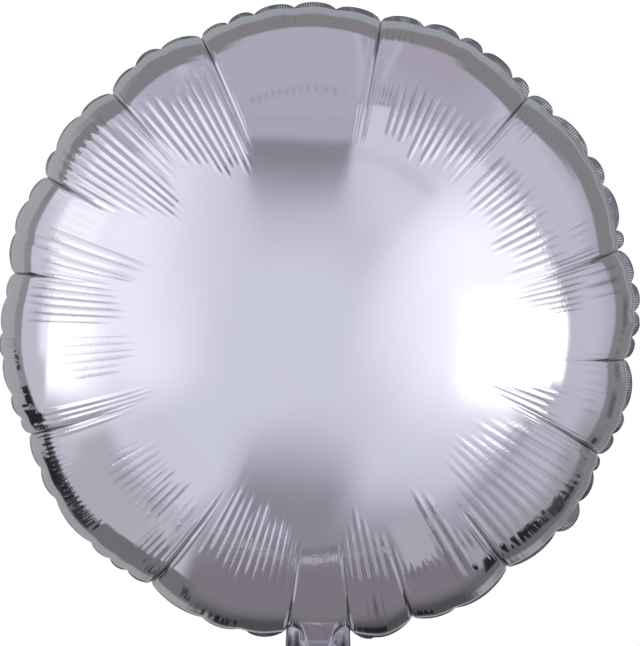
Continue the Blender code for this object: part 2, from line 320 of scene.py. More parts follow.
# Valve films. They wave across, more and more from the share VALVE_WAVE_FROM of the tail's length on.
VALVE_FILM_WIDTH = 0.020
VALVE_FILM_HEIGHT = 0.0004
VALVE_LIP = 0.003
VALVE_WAVE = 0.0008
VALVE_WAVE_FROM = 0.6
VALVE_WAVE_TURN = 3.4
VALVE_WAVE_SHIFT = 0.6

# Camera and photograph
PHOTO_SIZE = (640, 646)
PHOTO_CENTRE = (318.0, 323.5)
PHOTO_RADIUS = 318.0
CAMERA_DISTANCE = 2.4
CAMERA_REACH = 50
SENSOR_WIDTH_MM = 36

FLOOR_HEIGHT = -0.30
FLOOR_RADIUS = 0.85
FLOOR_STEPS = 96
FLOOR_FADE_FROM = 0.45
FLOOR_COLOUR = (0.9, 0.9, 0.9)
FLOOR_ROUGHNESS = 0.9

# Film: a faint haze varies its colour and roughness, shade is painted into its colour in its folds, and fine
# crinkles lie mostly on its wrinkles
FOIL_COLOURS = ((0.845, 0.84, 0.875), (0.875, 0.87, 0.91))
FOIL_ROUGHNESS = (0.045, 0.085)
PAINTED_SHADE_COLOUR = (0, 0, 0)
PAINTED_SHADE_STRENGTH = 0.85
HAZE_SCALE = 9.0
HAZE_DETAIL = 3.0
CRINKLE_SCALE = 420.0
CRINKLE_DETAIL = 2.0
CRINKLE_HEIGHT = 0.00009
SMOOTH_CRINKLE = 0.06

# Weld: rows of small pips, pressed flatter in worn places, with shade painted into the hollows between them,
# and a dark outer edge
WELD_PAINTED_SHADE_AND_PIP_COLOURS = ((0.22, 0.23, 0.24), (0.90, 0.92, 0.94))
WELD_ROUGHNESS = 0.33
WELD_EDGE_COLOUR = (0.10, 0.11, 0.12)
WELD_EDGE_MM = (3.9, 4.3)
WELD_PIP_MM = (1.35, 1.7)
WELD_PIP_FLANK = (-0.8, 0.5)
WELD_ROW_DEPTH = 0.5
WELD_WORN_SCALE = 0.13
WELD_WORN_DETAIL = 1.0
WELD_WORN_PIP = 0.15
WELD_CLEAR_FROM = (0.42, 0.60)
WELD_BUMP = 0.8
WELD_PIP_HEIGHT = 0.0002

VALVE_COLOUR = (0.93, 0.94, 0.95)
VALVE_ROUGHNESS = 0.08
VALVE_ALPHA = (0.25, 0.55)
VALVE_HAZE_SCALE = 120.0
VALVE_HAZE_DETAIL = 2.0


def unit_profile():
    """The inflated disc's profile for an inflated radius of 1, from pole to seam.

    At slope angle p its radius is sqrt(sin p). It gives the length along the film, the radius,
    the height over the seam plane and the slope. With p = u * u nothing is singular at the pole.
    """
    u = np.linspace(PROFILE_START, math.sqrt(math.pi / 2), PROFILE_STEPS)
    slope = u * u
    root = np.sqrt(np.sin(slope))
    step = np.diff(u)
    along_rate = u / root
    height_rate = u * root
    along = np.concatenate([[0], np.cumsum((along_rate[1:] + along_rate[:-1]) / 2 * step)])
    fallen = np.concatenate([[0], np.cumsum((height_rate[1:] + height_rate[:-1]) / 2 * step)])
    return along, root, fallen[-1] - fallen, slope


ALONG, RADIUS, HEIGHT, SLOPE = unit_profile()
INFLATED_RADIUS = SEAL_FLAT_RADIUS / ALONG[-1]


def profile_at(distance):
    """Radius, height over the seam plane and slope of the smooth film, at distances from the seam."""
    along = ALONG[-1] - np.asarray(distance, float) / INFLATED_RADIUS
    radius = np.interp(along, ALONG, RADIUS) * INFLATED_RADIUS
    height = np.interp(along, ALONG, HEIGHT) * INFLATED_RADIUS
    return radius, height, np.interp(along, ALONG, SLOPE)


def share_at(distance):
    """The share of the inflated radius, at distances from the seam."""
    return profile_at(distance)[0] / INFLATED_RADIUS


def points_at(x, y, z):
    return np.stack([x, y, z], axis=-1)


def smooth(low, high, value):
    """A smooth step from 0 at low to 1 at high."""
    share = np.clip((value - low) / (high - low), 0, 1)
    return share * share * (3 - 2 * share)


def place_between(angles, marks):
    """For each angle, how far it is from the middle of its gap in marks, from -1 to 1, and its gap."""
    marks = np.sort(np.asarray(marks) % 360)
    spread = np.concatenate([[marks[-1] - 360], marks, [marks[0] + 360]])
    gap = np.clip(np.searchsorted(spread, angles % 360, side="right") - 1, 0, len(spread) - 2)
    low, high = spread[gap], spread[gap + 1]
    return 2 * ((angles % 360) - low) / (high - low) - 1, gap


def angle_from(angles, mark):
    """Degrees from a mark, from -180 to 180."""
    return (angles - mark + 180) % 360 - 180


def metres_from(angles, mark, radius):
    """How far the points at these angles and radii are from the radial line at a mark."""
    return np.abs(np.radians(angle_from(angles, mark))) * radius[:, None]


CREASES = [fold_with_painted_shade[0] for fold_with_painted_shade in FOLDS]
NOTCHES = [angle for fold_with_painted_shade in FOLDS for angle in fold_with_painted_shade]


def rim_lobe_reach(angles):
    """How far in from the seam the valleys between the lobes reach: least beside narrow lobes."""
    creases = np.array(CREASES)
    gaps = (np.roll(creases, -1) - np.roll(creases, 1)) % 360 / 2
    reach = RIM_LOBE_REACH * (gaps / RIM_LOBE_USUAL_GAP) ** RIM_LOBE_REACH_POWER
    return np.interp(angles % 360, creases, reach, period=360)


def crease_depth(angles, distance):
    """How far the deep creases draw the film in: a broad valley between lobes with a sharp line in it."""
    radius, _, _ = profile_at(distance)
    share = radius / INFLATED_RADIUS
    across, _ = place_between(angles, CREASES)
    drawn = LOBE_DEPTH * (1 - smooth(0, LOBE_REACH, distance))[:, None]
    drawn = drawn + RIM_LOBE_DEPTH * np.exp(-((distance[:, None] / rim_lobe_reach(angles)) ** 2))
    lobe = np.abs(across) ** LOBE_POWER * drawn
    groove = np.zeros((len(distance), len(angles)))
    for crease, start in zip(CREASES, CREASE_STARTS):
        rise = smooth(start, 1.0, share) ** CREASE_RISE_POWER * CREASE_DEPTH
        off = metres_from(angles, crease, radius) / CREASE_HALF_WIDTH
        section = np.exp(-(off**CREASE_SECTION_POWER))
        section -= CREASE_SHOULDER * np.exp(-((off - CREASE_SHOULDER_AT) ** 2))
        groove += rise[:, None] * section
    return lobe + groove


def drawn_in(angles, distance):
    """How far the creases draw the film in, together with the notches of the seam."""
    across, _ = place_between(angles, NOTCHES)
    notch = NOTCH_DEPTH * np.outer(np.exp(-((distance / NOTCH_REACH) ** 2)), np.abs(across) ** NOTCH_POWER)
    return crease_depth(angles, distance) + notch


def painted_fold_shade(angles, distance):
    """How much shade is painted into the film's colour: 1 in the lines where it folds against itself, 0 on
    open film.
    """
    radius, _, _ = profile_at(distance)
    share = radius / INFLATED_RADIUS
    strength = np.zeros((len(distance), len(angles)))
    for crease, start in zip(CREASES, CREASE_STARTS):
        rise = smooth(start, 1.0, share)
        width = PAINTED_FOLD_SHADE_HALF_WIDTH * (PAINTED_FOLD_SHADE_START_WIDTH + (1 - PAINTED_FOLD_SHADE_START_WIDTH) * rise)
        line = np.exp(-((metres_from(angles, crease, radius) / width[:, None]) ** 2))
        strength = np.maximum(strength, (rise**PAINTED_FOLD_SHADE_RISE_POWER)[:, None] * line)
    # Close to the seam, each notch gets a short line of painted shade as well.
    near_seam = NOTCH_PAINTED_SHADE_STRENGTH * np.exp(-((distance / NOTCH_PAINTED_SHADE_REACH) ** 2))
    for notch in NOTCHES:
        line = np.exp(-((metres_from(angles, notch, radius) / PAINTED_FOLD_SHADE_HALF_WIDTH) ** 2))
        strength = np.maximum(strength, near_seam[:, None] * line)
    return strength


def drift(angles):
    """How many degrees the folds at these angles of the seam turn on their way in."""
    marks, turns = zip(*DRIFTS)
    return np.interp(angles % 360, marks, turns, period=360)


def way_in(share):
    """0 at the seam, 1 where the folds have ended."""
    return np.clip((1 - share) / (1 - DRIFT_FROM), 0, 1)


def pleat(off):
    """A ridge with straight flanks and a narrow top and foot: 1 in the middle, 0 at -1 and 1."""
    wave = np.arcsin(WRINKLE_SHARPNESS * np.cos(np.pi * off)) / math.asin(WRINKLE_SHARPNESS)
    return (wave + 1) / 2


def in_run(values, along):
    """A value of one wrinkle, given for the first, the middle and the last of its run or once for all."""
    return np.interp(along, (0, 0.5, 1), np.broadcast_to(values, 3))


def wrinkle_height(angles, distance, runs, chance):
    """Height of the fine wrinkles, how wrinkled the film is, and how much shade is painted into the folds
    between them.

    Each wrinkle is a small ridge with its own ends.
    """
    share = share_at(distance)
    height = np.zeros((len(distance), len(angles)))
    wrinkled = np.zeros_like(height)
    dark = np.zeros_like(height)
    for first, last, count, starts, ends, tall, shade in runs:
        width = (last - first) / (count - 1)
        for i in range(count):
            along = i / (count - 1)
            start = in_run(starts, along)
            end = in_run(ends, along)
            stray = min(WRINKLE_STRAY, (end - start) * WRINKLE_STRAY_MOST)
            start += chance.uniform(-1, 1) * stray
            end += chance.uniform(-1, 1) * stray
            centre = first + (last - first) * along + chance.uniform(-WRINKLE_SHIFT, WRINKLE_SHIFT) * width
            centre -= drift(np.array([centre]))[0] * way_in(WRINKLES_MEASURED_AT)
            off = angle_from(angles, centre) / (width / 2)
            near = np.abs(off) < 1
            ridge = pleat(off[near])
            length = end - start
            fade = smooth(start, start + min(WRINKLE_START_FADE, WRINKLE_START_MOST * length), share)
            fade *= 1 - smooth(end - min(WRINKLE_END_FADE, WRINKLE_END_MOST * length), end, share)
            strength = tall / MM_PER_METRE * chance.uniform(*WRINKLE_HEIGHTS)
            height[:, near] += strength * np.outer(fade, ridge)
            wrinkled[:, near] = np.maximum(wrinkled[:, near], fade[:, None])
            # Painted shade: the film's colour is darkened in the folds between the wrinkles.
            line = shade * (1 - ridge) ** PAINTED_SHADE_LINE_POWER
            dark[:, near] = np.maximum(dark[:, near], np.outer(fade, line))
    return height, wrinkled, dark


def side_pleat_height(angles, distance, chance):
    """Height of the narrow pleats that run close beside each deep crease."""
    share = share_at(distance)
    height = np.zeros((len(distance), len(angles)))
    for crease, start in zip(CREASES, CREASE_STARTS):
        for side in SIDE_PLEATS:
            centre = crease + side * chance.uniform(*SIDE_PLEAT_PLACES)
            off = angle_from(angles, centre) / SIDE_PLEAT_HALF_WIDTH
            near = np.abs(off) < 1
            first = start + chance.uniform(*SIDE_PLEAT_LATER)
            last = chance.uniform(*SIDE_PLEAT_ENDS)
            fade = smooth(first, first + SIDE_PLEAT_START_FADE, share)
            fade *= 1 - smooth(last - SIDE_PLEAT_END_FADE, last, share)
            strength = SIDE_PLEAT_HEIGHT * chance.uniform(*SIDE_PLEAT_HEIGHTS)
            height[:, near] += strength * np.outer(fade, pleat(off[near]))
    return height


def tuck_height(angles, distance, chance):
    """Height of the small tucks at the rim, each with its own place, height and reach."""
    height = np.zeros((len(distance), len(angles)))
    for centre in chance.uniform(0, 360, TUCKS):
        off = angle_from(angles, centre) / TUCK_HALF_WIDTH
        near = np.abs(off) < 1
        reach = chance.uniform(*TUCK_REACHES)
        fade = 1 - smooth(TUCK_FADE[0] * reach, TUCK_FADE[1] * reach, distance)
        strength = TUCK_HEIGHT * chance.uniform(-1, 1)
        height[:, near] += strength * np.outer(fade, (np.cos(np.pi * off[near]) + 1) / 2)
    return height


def back_wrinkle_runs(chance):
    """The back isn't in the photograph, so its wrinkles follow the creases with lengths of their own."""
    runs = []
    marks = sorted(CREASES)
    for low, high in zip(marks, marks[1:] + [marks[0] + 360]):
        if (low, high) == NECK_CREASES:
            continue
        count = int((high - low - BACK_COUNT_MARGIN) / BACK_WRINKLE_SPACING)
        starts = (BACK_WRINKLE_START, chance.uniform(*BACK_WRINKLE_MIDDLES), BACK_WRINKLE_START)
        ends = chance.uniform(*BACK_WRINKLE_ENDS, 3)
        tall = chance.uniform(*BACK_WRINKLE_HEIGHTS)
        first, last = low + BACK_WRINKLE_MARGIN, high - BACK_WRINKLE_MARGIN
        runs.append((first, last, count, starts, ends, tall, BACK_PAINTED_FOLD_SHADE))
    return runs


def undulation(angles, distance):
    """The slight unevenness of the taut dome."""
    radius, _, _ = profile_at(distance)
    turn = np.radians(angles)
    x = np.outer(radius, np.cos(turn))
    z = np.outer(radius, np.sin(turn))
    return DOME_WAVE_HEIGHT * sum(np.sin(a * x + b * z + shift) for a, b, shift in DOME_WAVES)


def film_surface(angles, distance, offset):
    """Points of the front film, moved out along its normal by an offset."""
    radius, height, slope = profile_at(distance)
    turn = np.radians(angles + np.outer(way_in(radius / INFLATED_RADIUS), drift(angles)))
    radius = radius[:, None] + offset * np.sin(slope)[:, None]
    height = height[:, None] + offset * np.cos(slope)[:, None] + FILM_GAP / 2
    return points_at(radius * np.cos(turn), -height, radius * np.sin(turn))


def neck_place(angles):
    """Which angles lie between the two neck creases, and how far across that room, from -1 to 1."""
    low, high = NECK_CREASES
    inside = np.where((angles > low) & (angles < high))[0]
    return inside, (angles[inside] - low) / (high - low) * 2 - 1


def neck_crest(share):
    """The middle line of the neck, a curve from the dome down into the tail, as places along Y and Z."""
    radius, height, slope = profile_at(NECK_REACH)
    top = np.array([-height, -radius])
    foot = np.array([-NECK_FOOT_HEIGHT, -INFLATED_RADIUS - NECK_FOOT_DROP])
    top_pull = top + NECK_TOP_PULL * np.array([math.sin(slope), -math.cos(slope)])
    foot_pull = foot + np.array([0, NECK_FOOT_PULL])
    rest = 1 - share
    return (
        np.outer(rest**3, top)
        + np.outer(3 * rest**2 * share, top_pull)
        + np.outer(3 * rest * share**2, foot_pull)
        + np.outer(share**3, foot)
    )


def neck_bulge(across, share):
    """1 along the neck's middle, falling steeply to 0 on the taut film beside it."""
    channel = NECK_CHANNEL_TOP + (NECK_CHANNEL - NECK_CHANNEL_TOP) * smooth(0, NECK_CHANNEL_FROM, share)
    return 1 - smooth(NECK_FLAT_TOP, 1, np.abs(across)[None, :] / channel[:, None])


def neck_painted_gather_shade(across, share):
    """How much shade is painted into the film's colour on both sides of the neck, in lines like small
    gathers. They run along it.
    """
    beside = 1 - neck_bulge(across, share)
    lines = 1 - NECK_PAINTED_GATHER_SWING + NECK_PAINTED_GATHER_SWING * np.sin(NECK_PAINTED_GATHER_LINES * across)
    return NECK_GATHER_PAINTED_SHADE * beside * lines * smooth(*NECK_PAINTED_GATHER_START, share)[:, None]


def shape_neck(points, angles, distance):
    """Draws the film between the two neck creases out into the funnel that leads into the tail."""
    near = np.where(distance < NECK_REACH)[0]
    if len(near) == 0:
        return
    inside, across = neck_place(angles)
    share = 1 - distance[near] / NECK_REACH
    sides = np.array(NECK_CREASES)
    reach = np.array([NECK_REACH, 0])
    top, foot = film_surface(sides, reach, -drawn_in(sides, reach))
    foot += NECK_SHOULDER
    edge = top + (foot - top) * share[:, None, None]
    side = ((across + 1) / 2)[None, :, None]
    target = edge[:, :1] * (1 - side) + edge[:, 1:] * side
    bulge = neck_bulge(across, share)[:, :, None]
    target[:, :, 1:] += bulge * (neck_crest(share)[:, None, :] - target[:, :, 1:])
    blend = smooth(0, NECK_BLEND, share)[:, None, None]
    here = np.ix_(near, inside)
    points[here] += blend * (target - points[here])


def keep_values(made, name, values):
    """Stores one number for each point, 0 at the points after the last value."""
    layer = made.data.attributes.new(name=name, type="FLOAT", domain="POINT")
    kept = np.zeros(len(made.data.vertices), np.float32)
    kept[: values.size] = values.ravel()
    layer.data.foreach_set("value", kept)


def film_points(angles, distance, side, runs, chance):
    """Points of a whole panel, how wrinkled it is there and how much shade is painted into the folds between
    its wrinkles.
    """
    offset, wrinkled, dark = wrinkle_height(angles, distance, runs, chance)
    offset += undulation(angles, distance)
    offset += tuck_height(angles, distance, chance)
    offset += side_pleat_height(angles, distance, chance)
    offset -= drawn_in(angles, distance)
    points = film_surface(angles, distance, offset)
    shape_neck(points, angles, distance)
    points[:, :, 1] *= -side
    return points, wrinkled, dark


def film_angles(count):
    """Angles round the film, closest together beside the creases."""
    fine = np.linspace(0, 360, DENSITY_SAMPLES)
    density = np.ones_like(fine)
    for crease in CREASES:
        density += CREASE_DENSITY * np.exp(-((angle_from(fine, crease) / CREASE_DENSITY_REACH) ** 2))
    total = np.concatenate([[0], np.cumsum((density[1:] + density[:-1]) / 2)])
    return np.interp(np.arange(count) / count * total[-1], total, fine)


def film_distances():
    """Distances of the rings from the seam: the finely divided ones, then those near the middle."""
    rim = np.arange(0, RIM_RINGS_TO, RIM_RING_STEP)
    wrinkled = np.arange(RIM_RINGS_TO, WRINKLED_RINGS_TO, WRINKLED_RING_STEP)
    centre = np.arange(WRINKLED_RINGS_TO, SEAL_FLAT_RADIUS - CENTRE_RING_STEP, CENTRE_RING_STEP)
    return np.concatenate([rim, wrinkled]), centre


def ring_faces(outer, inner):
    """Faces between two closed rings of vertex numbers. The inner one may have a fourth of the points."""
    count = len(outer)
    step = count // len(inner)
    faces = []
    for j in range(len(inner)):
        here, after = inner[j], inner[(j + 1) % len(inner)]
        ahead = [outer[(j * step + k) % count] for k in range(step + 1)]
        if step == 1:
            faces.append((ahead[0], ahead[1], after, here))
            continue
        middle = step // 2
        faces += [(ahead[k], ahead[k + 1], here) for k in range(middle)]
        faces.append((ahead[middle], after, here))
        faces += [(ahead[k], ahead[k + 1], after) for k in range(middle, step)]
    return faces


def disc_faces(rings, pole):
    """Faces of all rings of a panel and of the fan round its pole."""
    faces = []
    for before, after in zip(rings, rings[1:]):
        faces += ring_faces(before, after)
    last = rings[-1]
    faces += [(last[i], last[(i + 1) % len(last)], pole) for i in range(len(last))]
    return faces


def make_object(name, points, faces, turned, material):
    """A smooth piece on the balloon's only body. Turned swaps the sides of its faces."""
    if turned:
        faces = [face[::-1] for face in faces]
    mesh = bpy.data.meshes.new(name)
    mesh.from_pydata([tuple(p) for p in points], [], faces)
    mesh.validate()
    mesh.shade_smooth()
    mesh.materials.append(material)
    made = bpy.data.objects.new(name, mesh)
    bpy.context.scene.collection.objects.link(made)
    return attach(made, "root")


def make_panel(name, side, runs, seed, steps, material):
    """One of the two domed panels. Round its middle it has fewer points to a ring."""
    chance = np.random.default_rng(seed)
    fine, centre = film_distances()
    angles = film_angles(steps)
    few = angles[::CENTRE_SHARE]
    outer, wrinkled, dark = film_points(angles, fine, side, runs, chance)
    inner, _, _ = film_points(few, centre, side, (), chance)
    _, top, _ = profile_at(SEAL_FLAT_RADIUS)
    points = np.concatenate([outer.reshape(-1, 3), inner.reshape(-1, 3), [[0, side * top, 0]]])
    rings = [range(i * steps, (i + 1) * steps) for i in range(len(fine))]
    base = len(fine) * steps
    rings += [range(base + i * len(few), base + (i + 1) * len(few)) for i in range(len(centre))]
    faces = disc_faces(rings, len(points) - 1)
    panel = make_object(name, points, faces, side == BACK, material)
    # Painted shade: how far the film's colour darkens along its creases, notches and wrinkle folds, and in
    # lines beside the neck.
    fold_with_painted_shade = np.maximum(painted_fold_shade(angles, fine), dark)
    inside, across = neck_place(angles)
    fold_with_painted_shade[:, inside] = np.maximum(fold_with_painted_shade[:, inside], neck_painted_gather_shade(across, 1 - fine / NECK_REACH))
    keep_values(panel, "fold_with_painted_shade", fold_with_painted_shade)
    keep_values(panel, "wrinkled", wrinkled)
    return panel


def grid_faces(rows, columns):
    """Faces of an open grid whose vertices run along each row in turn."""
    return [
        (r * columns + c, r * columns + c + 1, (r + 1) * columns + c + 1, (r + 1) * columns + c)
        for r in range(rows - 1)
        for c in range(columns - 1)
    ]


def add_weld_place(made, places):
    """A UV map, in millimetres, for the embossed weld."""
    layer = made.data.uv_layers.new(name="weld_mm")
    corners = [places[loop.vertex_index] for loop in made.data.loops]
    layer.data.foreach_set("uv", np.asarray(corners, np.float32).ravel())


def band_lean(angles):
    """How far the seal band leans back from standing straight out, in degrees."""
    away = angle_from(angles, BAND_LEAST_LEAN_AT)
    lean = BAND_LEAN - BAND_LESS_LEAN * np.exp(-((away / BAND_LEAN_SPREAD) ** 2))
    for first, last, least in BAND_UPRIGHT:
        share = np.clip((angles % 360 - first) / (last - first), 0, 1)
        lean += (least - lean) * np.sqrt(np.sin(np.pi * share))
    return lean


def make_seam_band(material):
    """The welded edge: a scalloped frill that leans back behind the rim."""
    chance = np.random.default_rng(BAND_SEED)
    first, last = NECK_CREASES[1] + BAND_NECK_GAP, NECK_CREASES[0] + 360 - BAND_NECK_GAP
    angles = np.linspace(first, last, BAND_STEPS)
    across, gap = place_between(angles, NOTCHES)
    stray = chance.uniform(-1, 1, gap.max() + 1)[gap] * BAND_STRAY * (1 - across**2)
    lean = np.radians(band_lean(angles) + stray)
    width = BAND_NOTCH_WIDTH + (SEAL_WIDTH - BAND_NOTCH_WIDTH) * (1 - across**BAND_SCALLOP_POWER)
    base = INFLATED_RADIUS - drawn_in(angles, np.zeros(1))[0]
    turn = np.radians(angles)
    points, places = [], []
    for share in np.linspace(0, 1, BAND_ROWS):
        here = lean + math.radians(BAND_CURL) * share
        out = width * share
        radius = base + out * np.cos(here)
        points.append(points_at(radius * np.cos(turn), out * np.sin(here), radius * np.sin(turn)))
        places.append(np.stack([turn * INFLATED_RADIUS, out], axis=-1) * MM_PER_METRE)
    faces = grid_faces(BAND_ROWS, BAND_STEPS)
    band = make_object("seam_frill", np.concatenate(points), faces, True, material)
    add_weld_place(band, np.concatenate(places))
    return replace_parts(band, "seam_band")


def tail_half_width(drop):
    """Half the tail's width, at drops below the seam's lowest point."""
    waist, end = TAIL_WAIST_WIDTH / 2, TAIL_END_WIDTH / 2
    width = waist + (end - waist) * smooth(TAIL_WAIST_DROP, TAIL_FLARE_DROP, drop)
    corner = np.clip(drop - (TAIL_LENGTH - TAIL_CORNER_RADIUS), 0, TAIL_CORNER_RADIUS)
    return width - TAIL_CORNER_RADIUS + np.sqrt(TAIL_CORNER_RADIUS**2 - corner**2)


def tail_row(half_width, forward, drop, across):
    """A row of points across the tail. Forward and drop may be one number or one for each point."""
    y = np.zeros_like(across) - forward
    return points_at(across * half_width, y, np.full_like(across, -INFLATED_RADIUS - drop))


def tail_swell(drop):
    """How far the tail swells out in its middle: most where the neck ends, with no sharp bend on the way."""
    near = drop + TAIL_SWELL_ROUND * np.linspace(-1, 1, TAIL_SWELL_SAMPLES)
    rise = near / TAIL_FLAT_DROP
    fall = (TAIL_SWELL_TO - near) / (TAIL_SWELL_TO - TAIL_FLAT_DROP)
    return TAIL_SWELL * np.clip(np.minimum(rise, fall), 0, 1).mean()


def neck_end(across):
    """The last row of the neck's film, from which the tail goes on."""
    low, high = NECK_CREASES
    angles = (low + high) / 2 + across * (high - low) / 2
    angles[[0, -1]] = low, high
    seam = np.zeros(1)
    row = film_surface(angles, seam, -drawn_in(angles, seam))
    shape_neck(row, angles, seam)
    return row[0]


def make_tail_layer(name, side, material, node):
    """One foil layer of the tail. It goes on from the neck of the film and flattens on its way down."""
    across = np.linspace(-1, 1, TAIL_COLUMNS)
    start = neck_end(across)
    foot = tail_row(tail_half_width(TAIL_FLAT_DROP), TAIL_LAYER_HEIGHT, TAIL_FLAT_DROP, across)
    swollen = 1 - smooth(*TAIL_SWELL_WIDTH, np.abs(across))
    rows, painted_shade_rows = [], []
    for share in np.linspace(0, 1, TAIL_FIRST_ROWS):
        row = start + (foot - start) * share
        row[:, 0] = start[:, 0] + (foot[:, 0] - start[:, 0]) * smooth(0, 1, share)
        row[:, 1] = foot[:, 1] + (start[:, 1] - foot[:, 1]) * (1 - share) ** TAIL_FLAT_POWER
        row[:, 1] -= tail_swell(share * TAIL_FLAT_DROP) * smooth(0, NECK_BLEND, share) * swollen
        rows.append(row)
        # The painted shade beside the neck goes on into the top of the tail layer and fades out on the way
        # down.
        painted_shade_rows.append(neck_painted_gather_shade(across, np.ones(1))[0] * (1 - share))
    for drop in np.linspace(TAIL_FLAT_DROP, TAIL_LENGTH, TAIL_ROWS)[1:]:
        share = (drop - TAIL_FLAT_DROP) / (TAIL_LENGTH - TAIL_FLAT_DROP)
        ripple = TAIL_RIPPLE * np.sin(TAIL_RIPPLES_ACROSS * across + TAIL_RIPPLES_DOWN * share) * share
        forward = TAIL_LAYER_HEIGHT + tail_swell(drop) * swollen - ripple
        rows.append(tail_row(tail_half_width(drop), forward, drop, across))
    points = np.concatenate(rows) * (1, -side, 1)
    faces = grid_faces(len(rows), TAIL_COLUMNS)
    layer = make_object(name, points, faces, side == FRONT, material)
    keep_values(layer, "fold_with_painted_shade", np.concatenate(painted_shade_rows))
    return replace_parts(layer, node)


def make_tail_seal(name, side, material, node):
    """The weld down one side of the tail, embossed like the band round the rim."""
    drops = np.linspace(TAIL_SEAL_DROP, TAIL_LENGTH - TAIL_CORNER_RADIUS * TAIL_SEAL_CORNER, TAIL_ROWS)
    outer = tail_half_width(drops) + TAIL_SEAL_PROUD
    inner = outer - TAIL_SEAL_WIDTH
    thick = TAIL_LAYER_HEIGHT + TAIL_SEAL_PROUD
    bevel = thick * TAIL_SEAL_BEVEL
    z = -INFLATED_RADIUS - drops
    points, places = [], []
    for x, y in ((inner, -thick), (outer, -bevel), (outer, bevel), (inner, thick)):
        points.append(points_at(side * x, np.full_like(x, y), z))
        places.append(np.stack([z, x - inner], axis=-1) * MM_PER_METRE)
    faces = grid_faces(len(points), TAIL_ROWS)
    seal = make_object(name, np.concatenate(points), faces, side == LEFT, material)
    add_weld_place(seal, np.concatenate(places))
    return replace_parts(seal, node)


def make_valve_film(name, side, material, node):
    """One of the two clear films of the valve. Only its end shows, below the tail."""
    across = np.linspace(-1, 1, TAIL_COLUMNS)
    rows = []
    for drop in np.linspace(TAIL_SEAL_DROP, TAIL_LENGTH + VALVE_LIP, TAIL_ROWS):
        share = smooth(TAIL_LENGTH * VALVE_WAVE_FROM, TAIL_LENGTH + VALVE_LIP, drop)
        wave = VALVE_WAVE * share * np.sin(VALVE_WAVE_TURN * across + VALVE_WAVE_SHIFT * side)
        rows.append(tail_row(VALVE_FILM_WIDTH / 2, -side * VALVE_FILM_HEIGHT - wave, drop, across))
    faces = grid_faces(len(rows), TAIL_COLUMNS)
    film = make_object(name, np.concatenate(rows), faces, side == FRONT, material)
    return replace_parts(film, node)


def feed(tree, socket, value):
    """Sets a socket to a number or a colour, or links another node's output to it."""
    if isinstance(value, bpy.types.NodeSocket):
        tree.links.new(value, socket)
    elif isinstance(value, tuple):
        socket.default_value = (*value, 1)
    else:
        socket.default_value = value


def add_node(tree, kind, inputs, **settings):
    """A node with its settings, and with inputs by name or number."""
    node = tree.nodes.new("ShaderNode" + kind)
    for name, value in settings.items():
        setattr(node, name, value)
    for key, value in inputs.items():
        feed(tree, node.inputs[key], value)
    return node


def add_math(tree, operation, *values):
    """A Math node. Each value may be a number or another node's output."""
    return add_node(tree, "Math", dict(enumerate(values)), operation=operation).outputs[0]


def add_step(tree, value, low, high):
    """A smooth step from 0 at low to 1 at high."""
    inputs = {"Value": value, "From Min": low, "From Max": high}
    return add_node(tree, "MapRange", inputs, interpolation_type="SMOOTHSTEP").outputs["Result"]


def add_spread(tree, value, low, high):
    """A value from 0 to 1, spread evenly from low to high."""
    return add_node(tree, "MapRange", {"Value": value, "To Min": low, "To Max": high}).outputs["Result"]


def add_mix(tree, share, first, second, name=""):
    """A mix of two colours. Each may be three numbers or another node's output."""
    inputs = {"Fac": share, "Color1": first, "Color2": second}
    return add_node(tree, "MixRGB", inputs, label=name).outputs[0]


def add_noise(tree, place, scale, detail):
    """Soft noise over a surface."""
    return add_node(tree, "TexNoise", {"Vector": place, "Scale": scale, "Detail": detail}).outputs["Fac"]


def add_kept(tree, name):
    """The values that the mesh keeps under a name."""
    return add_node(tree, "Attribute", {}, attribute_name=name).outputs["Fac"]


def add_bump(tree, shader, height, strength, distance):
    """Makes a shader's surface uneven."""
    bump = add_node(tree, "Bump", {"Height": height, "Strength": strength, "Distance": distance})
    tree.links.new(bump.outputs["Normal"], shader.inputs["Normal"])


def new_material(name):
    """A material with its node tree and its shader."""
    material = bpy.data.materials.new(name)
    material.use_nodes = True
    return material, material.node_tree, material.node_tree.nodes["Principled BSDF"]


def foil_material():
    """Metallised film, with shade painted into its colour in its folds."""
    material, tree, shader = new_material("silver_foil_film")
    shader.inputs["Metallic"].default_value = 1.0
    place = add_node(tree, "TexCoord", {}).outputs["Object"]
    haze = add_noise(tree, place, HAZE_SCALE, HAZE_DETAIL)
    silver = add_mix(tree, haze, *FOIL_COLOURS)
    # Painted shade: the colour is drawn towards black in the film's folds.
    painted_shade_share = add_math(tree, "MULTIPLY", add_kept(tree, "fold_with_painted_shade"), PAINTED_SHADE_STRENGTH)
    tree.links.new(add_mix(tree, painted_shade_share, silver, PAINTED_SHADE_COLOUR), shader.inputs["Base Color"])
    tree.links.new(add_spread(tree, haze, *FOIL_ROUGHNESS), shader.inputs["Roughness"])
    crinkle = add_noise(tree, place, CRINKLE_SCALE, CRINKLE_DETAIL)
    strength = add_spread(tree, add_kept(tree, "wrinkled"), SMOOTH_CRINKLE, 1.0)
    add_bump(tree, shader, crinkle, strength, CRINKLE_HEIGHT)
    return material


